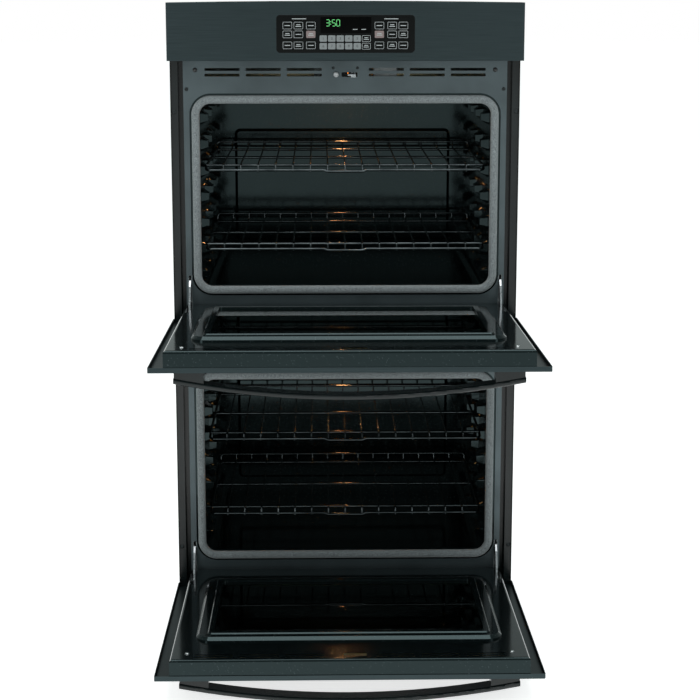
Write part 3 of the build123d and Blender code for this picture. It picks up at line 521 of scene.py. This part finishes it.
# --- settings -----------------------------------------------------------------------------------
class OvenFinishSettings(bpy.types.PropertyGroup):
    """Colours of the oven's finishes."""

    enamel: bpy.props.StringProperty(
        name="Enamel", description="Ground colour of the cavity and door liner enamel", default="#060b0c"
    )
    stainless: bpy.props.StringProperty(
        name="Stainless", description="Darker tone of the tinted stainless steel", default="#30393b"
    )
    frame_paint: bpy.props.StringProperty(
        name="Frame paint", description="Darker tone of the frame's powder coat", default="#454e51"
    )
    seal: bpy.props.StringProperty(
        name="Seal yarn", description="Lighter tone of the door seal's yarn", default="#80888a"
    )


class OvenSealSettings(bpy.types.PropertyGroup):
    """Sizes of the braided door seals."""

    braid_pitch: bpy.props.FloatProperty(
        name="Braid pitch",
        description="Length of one braid cell along the seal",
        default=0.006,
        unit="LENGTH",
    )
    braid_depth: bpy.props.FloatProperty(
        name="Braid depth", description="Height of the strands over the gaps", default=0.0006, unit="LENGTH"
    )


class OvenKeypadSettings(bpy.types.PropertyGroup):
    """Sizes of the printed keys and the clock."""

    key_width: bpy.props.FloatProperty(
        name="Number key width", description="Width of one number key", default=0.0156, unit="LENGTH"
    )
    key_pitch: bpy.props.FloatProperty(
        name="Number key pitch", description="From one number key to the next", default=0.0179, unit="LENGTH"
    )
    digit_height: bpy.props.FloatProperty(
        name="Digit height", description="Height of a clock digit", default=0.013, unit="LENGTH"
    )


class OvenStageSettings(bpy.types.PropertyGroup):
    """Where the camera stands, measured from the oven's base."""

    camera_distance: bpy.props.FloatProperty(
        name="Camera distance",
        description="From the cabinet's face to the camera",
        default=3.616,
        unit="LENGTH",
    )
    camera_height: bpy.props.FloatProperty(
        name="Camera height", description="Height of the camera over the base", default=1.383, unit="LENGTH"
    )
    camera_aside: bpy.props.FloatProperty(
        name="Camera offset",
        description="How far the camera stands to the right",
        default=-0.056,
        unit="LENGTH",
    )
    camera_pitch: bpy.props.FloatProperty(
        name="Camera pitch",
        description="How far the camera looks down",
        default=math.radians(10.4),
        subtype="ANGLE",
    )
    camera_turn: bpy.props.FloatProperty(
        name="Camera turn",
        description="How far the camera looks to the right",
        default=math.radians(1.05),
        subtype="ANGLE",
    )
    lens: bpy.props.FloatProperty(
        name="Lens", description="Focal length on a 36 mm sensor", default=85.8, subtype="DISTANCE_CAMERA"
    )


# --- pieces -------------------------------------------------------------------------------------
class OVEN_OT_finish_parts(bpy.types.Operator):
    """Give every CAD part the material of its slot, except the door handles and side trims, which get gloss
    black paint
    """

    bl_idname = "oven.finish_parts"
    bl_label = "Finish CAD Parts"

    def execute(self, context):
        slot_of = {s["node"]: s["material_slot"] for s in frame["record"]["subparts"]}
        made = {slot: build() for slot, build in SLOT_MATERIALS.items()}
        gloss_black = gloss_paint()
        for name, obj in frame["nodes"].items():
            obj.data.materials.clear()
            is_gloss = name.endswith(("_door_handle", "_side_trim"))
            finish = gloss_black if is_gloss else made[slot_of[name]]
            obj.data.materials.append(finish)
        return {"FINISHED"}


def seal_path(low, high, inset, radius, step):
    """Evenly spaced points round the seal's centre line, each with its outward direction."""
    x0, x1 = low.x + inset, high.x - inset
    z0, z1 = low.z + inset, high.z - inset
    x0, x1, z0, z1 = x0 + radius, x1 - radius, z0 + radius, z1 - radius
    corners = [(x1, z1, 0), (x0, z1, 1), (x0, z0, 2), (x1, z0, 3)]
    points = []
    for n, (cx, cz, quarter) in enumerate(corners):
        arc_steps = max(3, round(math.pi / 2 * radius / step))
        for k in range(arc_steps):
            angle = math.pi / 2 * (quarter + k / arc_steps)
            out = Vector((math.cos(angle), 0, math.sin(angle)))
            points.append((Vector((cx, 0, cz)) + radius * out, out))
        nx, nz, _ = corners[(n + 1) % 4]
        angle = math.pi / 2 * (quarter + 1)
        out = Vector((round(math.cos(angle)), 0, round(math.sin(angle))))
        start = Vector((cx, 0, cz)) + radius * out
        end = Vector((nx, 0, nz)) + radius * out
        run_steps = max(2, round((end - start).length / step))
        points += [(start.lerp(end, k / run_steps), out) for k in range(run_steps)]
    return points


def squared_off(share):
    """Pushes a sine or cosine outwards, so that a round section becomes slightly square."""
    return math.copysign(abs(share) ** 0.8, share)


SEAL_WIDTH = 18 * MM
SEAL_CORNER = 33 * MM  # radius of the centre line at the corners


class OVEN_OT_door_seals(bpy.types.Operator):
    """Build both braided door seals"""

    bl_idname = "oven.door_seals"
    bl_label = "Door Seals"

    sides = 20

    def execute(self, context):
        settings = context.scene.oven_seal
        yarn = bpy.data.materials["glass_fibre_braid"]
        for oven in OVENS:
            low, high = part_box(f"{oven}_gasket")
            centre_y = (low.y + high.y) / 2
            half_depth = (high.y - low.y) / 2
            path = seal_path(low, high, SEAL_WIDTH / 2, SEAL_CORNER, settings.braid_pitch / 4)
            bm = bmesh.new()
            rings = []
            for n, (point, out) in enumerate(path):
                ring = []
                for k in range(self.sides):
                    angle = 2 * math.pi * k / self.sides
                    left_strand = abs(math.sin(math.pi * (n / 4 + k / 2)))
                    right_strand = abs(math.cos(math.pi * (n / 4 - k / 2)))
                    lift = settings.braid_depth * (left_strand * right_strand - 1)
                    across = squared_off(math.cos(angle)) * (SEAL_WIDTH / 2 + lift)
                    deep = squared_off(math.sin(angle)) * (half_depth + lift)
                    ring.append(bm.verts.new(Vector((point.x, centre_y + deep, point.z)) + out * across))
                rings.append(ring)
            for a, b in zip(rings, rings[1:] + rings[:1]):
                for k in range(self.sides):
                    bm.faces.new((a[k], a[k - 1], b[k - 1], b[k]))
            seal = piece_from(f"{oven}_door_seal", bm, yarn, CHASSIS)
            seal.data.set_sharp_from_angle(angle=math.pi)
            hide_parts(f"{oven}_gasket")
        return {"FINISHED"}


SEGMENTS = {
    "0": "abcdef",
    "3": "abgcd",
    "5": "afgcd",
}


def add_segment(bm, start, end, thick, front, back):
    """Adds one pointed bar of a seven-segment digit."""
    a, b = Vector((start[0], 0, start[1])), Vector((end[0], 0, end[1]))
    along = (b - a).normalized()
    across = Vector((-along.z, 0, along.x)) * thick / 2
    tip = along * thick / 2
    outline = [a, a + tip + across, b - tip + across, b, b - tip - across, a + tip - across]
    faces = [[bm.verts.new((p.x, y, p.z)) for p in outline] for y in (front, back)]
    bm.faces.new(faces[0])
    bm.faces.new(faces[1])
    for n in range(len(outline)):
        bm.faces.new((faces[0][n], faces[0][n - 1], faces[1][n - 1], faces[1][n]))


def add_digit(bm, digit, left, base, height, front, back):
    """Adds a seven-segment digit."""
    w, h, gap = height * 0.5, height, height * 0.02
    x0, x1 = left, left + w
    z0, z1, z2 = base, base + h / 2, base + h
    ends = {
        "a": ((x0, z2), (x1, z2)),
        "b": ((x1, z2), (x1, z1)),
        "c": ((x1, z1), (x1, z0)),
        "d": ((x0, z0), (x1, z0)),
        "e": ((x0, z1), (x0, z0)),
        "f": ((x0, z2), (x0, z1)),
        "g": ((x0, z1), (x1, z1)),
    }
    for name in SEGMENTS[digit]:
        (ax, az), (bx, bz) = ends[name]
        dx, dz = (1, 0) if az == bz else (0, -1)
        add_segment(
            bm, (ax + dx * gap, az + dz * gap), (bx - dx * gap, bz - dz * gap), height * 0.075, front, back
        )


def keypad_places():
    """Front of the keypad and the top of the panel, which the keys' heights are measured down from."""
    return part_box("touch_panel")[0].y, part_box("control_fascia")[1].z


class OVEN_OT_clock(bpy.types.Operator):
    """Build the clock window and its lit digits"""

    bl_idname = "oven.clock"
    bl_label = "Clock"

    window_drop = 49.7  # millimetres from the panel's top to the window's centre
    window_size = (107.0, 34.5)

    def execute(self, context):
        front, top = keypad_places()
        settings = context.scene.oven_keypad
        window = bmesh.new()
        centre = (0.5 * MM, top - self.window_drop * MM)
        width, height = (side * MM for side in self.window_size)
        add_plate(window, centre, width, height, front - 0.25 * MM, front + 0.1 * MM, 1.5 * MM, 0.15 * MM)
        glassy, tree, shader = new_material(
            "smoked_display_window", base_color=colour("#010101"), specular_ior_level=0.08
        )
        vary_roughness(tree, shader, grain(tree, 20.0), "Fac", 0.05, 0.1)
        piece_from("clock_window", window, glassy, CHASSIS)
        digits = bmesh.new()
        base = top - 52 * MM
        face, back = front - 0.45 * MM, front - 0.2 * MM
        height = settings.digit_height
        left = -41 * MM
        for digit in "350":
            add_digit(digits, digit, left, base, height, face, back)
            left += height * (0.98 if digit == "3" else 0.72)
        for share in (0.3, 0.7):
            add_plate(digits, (-31.6 * MM, base + share * height), 1.6 * MM, 1.6 * MM, face, back, 0.5 * MM)
        lit = glow("lit_display_segment", "#62c473", 0.45)
        piece_from("clock_digits", digits, lit, CHASSIS, smooth=False)
        return {"FINISHED"}


def text_mesh(text, height):
    """Triangles of a short text in the default font, as a mesh in XY."""
    font = bpy.data.curves.new("legend", "FONT")
    font.body = text
    font.size = height
    font.align_x = "CENTER"
    font.align_y = "CENTER"
    font.extrude = 0.05 * MM
    carrier = bpy.data.objects.new("legend", font)
    mesh = bpy.data.meshes.new_from_object(carrier)
    bpy.data.objects.remove(carrier)
    return mesh


def add_text(bm, text, height, x, z, front):
    """Adds a generic number to a piece, upright on its front."""
    mesh = text_mesh(text, height)
    mesh.transform(Matrix.Translation((x, front, z)) @ Matrix.Rotation(math.pi / 2, 4, "X"))
    bm.from_mesh(mesh)
    bpy.data.meshes.remove(mesh)


class OVEN_OT_keys(bpy.types.Operator):
    """Print the keys: number keys, outlined function keys, and bars in place of words"""

    bl_idname = "oven.keys"
    bl_label = "Keys"

    # millimetres across from the middle, and down from the panel's top
    left_columns = (-122.7, -99.5, -73.3)
    right_columns = (71.0, 98.0, 121.5)
    middle_column = 43.5
    rows = (51.0, 69.3, 92.2)
    number_row, number_row_pitch = 78.0, 16.0
    key_size = (19.5 * MM, 15 * MM)
    small_key_size = (18 * MM, 13.2 * MM)
    corner, outline = 2 * MM, 0.7 * MM
    print_bevel = 0.1 * MM

    def execute(self, context):
        front, top = keypad_places()
        settings = context.scene.oven_keypad
        face, back = front - 0.18 * MM, front + 0.1 * MM
        number_keys, numbers, outlines, filled, words = (bmesh.new() for _ in range(5))
        first = -55 * MM + settings.key_width / 2
        for n in range(10):
            row, column = divmod(n, 5)
            x = first + column * settings.key_pitch
            z = top - (self.number_row + self.number_row_pitch * row) * MM
            width, height = settings.key_width, self.small_key_size[1]
            add_plate(number_keys, (x, z), width, height, face, back, self.corner, self.print_bevel)
            add_text(numbers, str((n + 1) % 10), 7.5 * MM, x, z, face - 0.08 * MM)
        for columns, solid in ((self.left_columns, 2), (self.right_columns, 0)):
            for c, x in enumerate(columns):
                for r, drop in enumerate(self.rows):
                    place = (x * MM, top - drop * MM)
                    if c == solid and r == 1:
                        add_plate(filled, place, *self.key_size, face, back, self.corner, self.print_bevel)
                    else:
                        add_frame(outlines, place, *self.key_size, self.outline, face, back, self.corner)
                    self.add_word(words, place, face, 2 if (c + r) % 2 else 1, 12)
        for drop in (self.number_row, self.number_row + self.number_row_pitch):
            place = (self.middle_column * MM, top - drop * MM)
            add_frame(outlines, place, *self.small_key_size, self.outline, face, back, self.corner)
            self.add_word(words, place, face, 2, 11)
        for x in (-98.0, 96.0):
            self.add_word(words, (x * MM, top - 37 * MM), face, 1, 30)
        for x in (20.0, 38.0):
            self.add_word(words, (x * MM, top - 59 * MM), face, 1, 10)
        grey = printed_ink("grey_key_ink", "#6c7273")
        pale = printed_ink("pale_legend_ink", "#989e9f")
        rose = printed_ink("rose_key_ink", "#6f6261")
        dark = printed_ink("dark_legend_ink", "#1a1c1d")
        piece_from("number_keys", number_keys, grey, CHASSIS)
        piece_from("key_numbers", numbers, dark, CHASSIS, smooth=False)
        piece_from("key_outlines", outlines, pale, CHASSIS)
        piece_from("start_stop_keys", filled, rose, CHASSIS)
        piece_from("key_legends", words, pale, CHASSIS)
        return {"FINISHED"}

    def add_word(self, bm, place, face, lines, width):
        """Adds short bars where a word would be printed."""
        x, z = place
        for n in range(lines):
            height = z + (n - (lines - 1) / 2) * 3.4 * MM
            length = width * (0.75 if n else 1.0) * MM
            add_plate(bm, (x, height), length, 1.5 * MM, face - 0.12 * MM, face + 0.1 * MM, 0.6 * MM)


class OVEN_OT_lamp_rings(bpy.types.Operator):
    """Build the retaining ring round each oven lamp"""

    bl_idname = "oven.lamp_rings"
    bl_label = "Lamp Rings"

    radius = 23 * MM
    steps = 48

    def execute(self, context):
        steel = bpy.data.materials["stamped_stainless"]
        lamp_low, lamp_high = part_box("oven_lamps")
        centre = (lamp_low + lamp_high) / 2
        for oven in OVENS:
            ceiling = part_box(f"{oven}_cavity")[1].z - 1.5 * MM
            bm = bmesh.new()
            middle = Vector((centre.x, centre.y, ceiling - 1.6 * MM))
            turns = [2 * math.pi * n / self.steps for n in range(self.steps)]
            ring = [middle + self.radius * Vector((math.cos(t), math.sin(t), 0)) for t in turns]
            add_tube(bm, ring, 1.5 * MM, sides=10, closed=True)
            piece_from(f"{oven}_lamp_ring", bm, steel, CHASSIS)
        return {"FINISHED"}


class OVEN_OT_door_bumpers(bpy.types.Operator):
    """Build the small rubber stops on each frame that a closing door meets"""

    bl_idname = "oven.door_bumpers"
    bl_label = "Door Bumpers"

    def execute(self, context):
        rubber, tree, shader = new_material("silicone_rubber", base_color=colour("#1d1f20"))
        vary_roughness(tree, shader, grain(tree, 2.0), "Fac", 0.45, 0.6)
        for oven in OVENS:
            low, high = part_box(f"{oven}_vent_panel")
            bm = bmesh.new()
            for side in (-1, 1):
                add_dome(bm, (side * 322 * MM, low.y, high.z - 20 * MM), (0, -1, 0), 5 * MM, 4 * MM)
            piece_from(f"{oven}_door_bumpers", bm, rubber, CHASSIS)
        return {"FINISHED"}


class OVEN_OT_case_fixings(bpy.types.Operator):
    """Build the rivets of the case's side and top panels"""

    bl_idname = "oven.case_fixings"
    bl_label = "Case Fixings"

    head_radius, head_rise = 3.2 * MM, 1.1 * MM
    rows_up, rows_across = 9, 7

    def execute(self, context):
        zinc = bpy.data.materials["bright_zinc_plate"]
        bm = bmesh.new()
        for side, node in ((-1, "left_side_panel"), (1, "right_side_panel")):
            low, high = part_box(node)
            face = low.x if side < 0 else high.x
            for n in range(self.rows_up):
                z = low.z + (high.z - low.z) * (n + 0.5) / self.rows_up
                for y in (low.y + 18 * MM, high.y - 14 * MM):
                    add_dome(bm, (face, y, z), (side, 0, 0), self.head_radius, self.head_rise)
        low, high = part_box("top_panel")
        for n in range(self.rows_across):
            x = low.x + (high.x - low.x) * (n + 0.5) / self.rows_across
            for y in (low.y + 22 * MM, high.y - 14 * MM):
                add_dome(bm, (x, y, high.z), (0, 0, 1), self.head_radius, self.head_rise)
        piece_from("case_rivets", bm, zinc, CHASSIS)
        return {"FINISHED"}


# --- stage --------------------------------------------------------------------------------------
def soft_light(name, place, target, size, power):
    """A rectangular soft light that faces a point."""
    data = bpy.data.lights.new(name, "AREA")
    data.shape = "RECTANGLE"
    data.size, data.size_y = size
    data.energy = power
    obj = bpy.data.objects.new(name, data)
    bpy.context.scene.collection.objects.link(obj)
    obj.location = place
    obj.rotation_euler = (Vector(target) - Vector(place)).to_track_quat("-Z", "Y").to_euler()
    return obj


class OVEN_OT_cabinet_screws(bpy.types.Operator):
    """Build the black screws that hold the side trims to the cabinet"""

    bl_idname = "oven.cabinet_screws"
    bl_label = "Cabinet Screws"

    def execute(self, context):
        pattern = next(m for m in frame["record"]["mounts"] if m["name"] == "cabinet_screws")
        x, y, z = pattern["pos_m"]
        across, up = (pattern["dims"][key] * MM / 2 for key in ("spacing_x_mm", "spacing_y_mm"))
        bm = bmesh.new()
        for side in (-1, 1):
            for end in (-1, 1):
                add_dome(bm, (x + side * across, y - 0.6 * MM, z + end * up), (0, -1, 0), 5.2 * MM, 2.2 * MM)
        piece_from("cabinet_screws", bm, bpy.data.materials["black_oxide_steel"], CHASSIS)
        return {"FINISHED"}


class OVEN_OT_stage(bpy.types.Operator):
    """Build the floor, the lights and the camera"""

    bl_idname = "oven.stage"
    bl_label = "Stage"

    floor_half = 40.0

    def execute(self, context):
        scene = context.scene
        bm = bmesh.new()
        bmesh.ops.create_grid(bm, x_segments=2, y_segments=2, size=self.floor_half)
        mesh = bpy.data.meshes.new("studio_floor")
        bm.to_mesh(mesh)
        bm.free()
        mesh.materials.append(studio_floor())
        floor = bpy.data.objects.new("studio_floor", mesh)
        floor.location.z = CAD_BOX[0].z - 0.5 * MM
        scene.collection.objects.link(floor)
        soft_light("overhead_softbox", (0.0, -1.0, 3.6), (0, 0, 0.7), (3.0, 2.0), 70)
        soft_light("left_softbox", (-2.4, -3.3, 2.0), (0, -0.1, 0.7), (1.0, 2.4), 34)
        soft_light("right_softbox", (2.4, -3.3, 2.0), (0, -0.1, 0.7), (1.0, 2.4), 28)
        self.light_ovens()
        self.light_world(scene)
        self.place_camera(scene)
        scene.view_settings.view_transform = "Standard"
        return {"FINISHED"}

    def light_ovens(self):
        """A warm light under each oven's lamp, which glints on the racks and in the door glass."""
        low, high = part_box("oven_lamps")
        for oven in OVENS:
            data = bpy.data.lights.new(f"{oven}_lamp_light", "POINT")
            data.energy = 0.9
            data.color = colour("#ffb070")[:3]
            data.shadow_soft_size = 12 * MM
            lamp = bpy.data.objects.new(f"{oven}_lamp_light", data)
            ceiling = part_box(f"{oven}_cavity")[1].z
            lamp.location = ((low.x + high.x) / 2, (low.y + high.y) / 2, ceiling - 40 * MM)
            bpy.context.scene.collection.objects.link(lamp)

    def light_world(self, scene):
        """A white surround that is dimmer in reflections than to the eye."""
        world = bpy.data.worlds.new("white_surround")
        world.use_nodes = True
        tree = world.node_tree
        tree.nodes.clear()
        rays = add_node(tree, "ShaderNodeLightPath")
        dim = add_node(tree, "ShaderNodeBackground", {"Color": colour("#e9f6f4"), "Strength": 0.42})
        bright = add_node(tree, "ShaderNodeBackground", {"Color": colour("#ffffff"), "Strength": 1.0})
        mix = add_node(
            tree,
            "ShaderNodeMixShader",
            {0: (rays, "Is Camera Ray"), 1: (dim, "Background"), 2: (bright, "Background")},
        )
        add_node(tree, "ShaderNodeOutputWorld", {"Surface": (mix, "Shader")})
        scene.world = world

    def place_camera(self, scene):
        """The camera stands in front, above the middle, and looks down at the open doors."""
        settings = scene.oven_stage
        data = bpy.data.cameras.new("studio_camera")
        data.lens = settings.lens
        data.sensor_width = 36
        data.shift_y = -0.08
        camera = bpy.data.objects.new("studio_camera", data)
        base = CAD_BOX[0].z
        camera.location = (settings.camera_aside, -settings.camera_distance, base + settings.camera_height)
        camera.rotation_euler = (math.pi / 2 - settings.camera_pitch, 0, -settings.camera_turn)
        scene.collection.objects.link(camera)
        scene.camera = camera


OPERATORS = (
    OVEN_OT_finish_parts,
    OVEN_OT_door_seals,
    OVEN_OT_clock,
    OVEN_OT_keys,
    OVEN_OT_lamp_rings,
    OVEN_OT_door_bumpers,
    OVEN_OT_case_fixings,
    OVEN_OT_cabinet_screws,
    OVEN_OT_stage,
)
SETTINGS = {
    "oven_finish": OvenFinishSettings,
    "oven_seal": OvenSealSettings,
    "oven_keypad": OvenKeypadSettings,
    "oven_stage": OvenStageSettings,
}


class OVEN_PT_build(bpy.types.Panel):
    """Lists the oven's pieces and their settings"""

    bl_idname = "OVEN_PT_build"
    bl_label = "Wall Oven"
    bl_space_type = "VIEW_3D"
    bl_region_type = "UI"
    bl_category = "Wall Oven"

    def draw(self, context):
        for name, group in SETTINGS.items():
            column = self.layout.column(align=True)
            for field in group.__annotations__:
                column.prop(getattr(context.scene, name), field)
        for operator in OPERATORS:
            self.layout.operator(operator.bl_idname)


def register():
    for group in SETTINGS.values():
        bpy.utils.register_class(group)
    for name, group in SETTINGS.items():
        setattr(bpy.types.Scene, name, bpy.props.PointerProperty(type=group))
    for operator in OPERATORS:
        bpy.utils.register_class(operator)
    bpy.utils.register_class(OVEN_PT_build)


def unregister():
    bpy.utils.unregister_class(OVEN_PT_build)
    for operator in reversed(OPERATORS):
        bpy.utils.unregister_class(operator)
    for name, group in SETTINGS.items():
        delattr(bpy.types.Scene, name)
        bpy.utils.unregister_class(group)


def main():
    register()
    for operator in OPERATORS:
        group, name = operator.bl_idname.split(".")
        getattr(getattr(bpy.ops, group), name)()


if __name__ == "__main__":
    main()
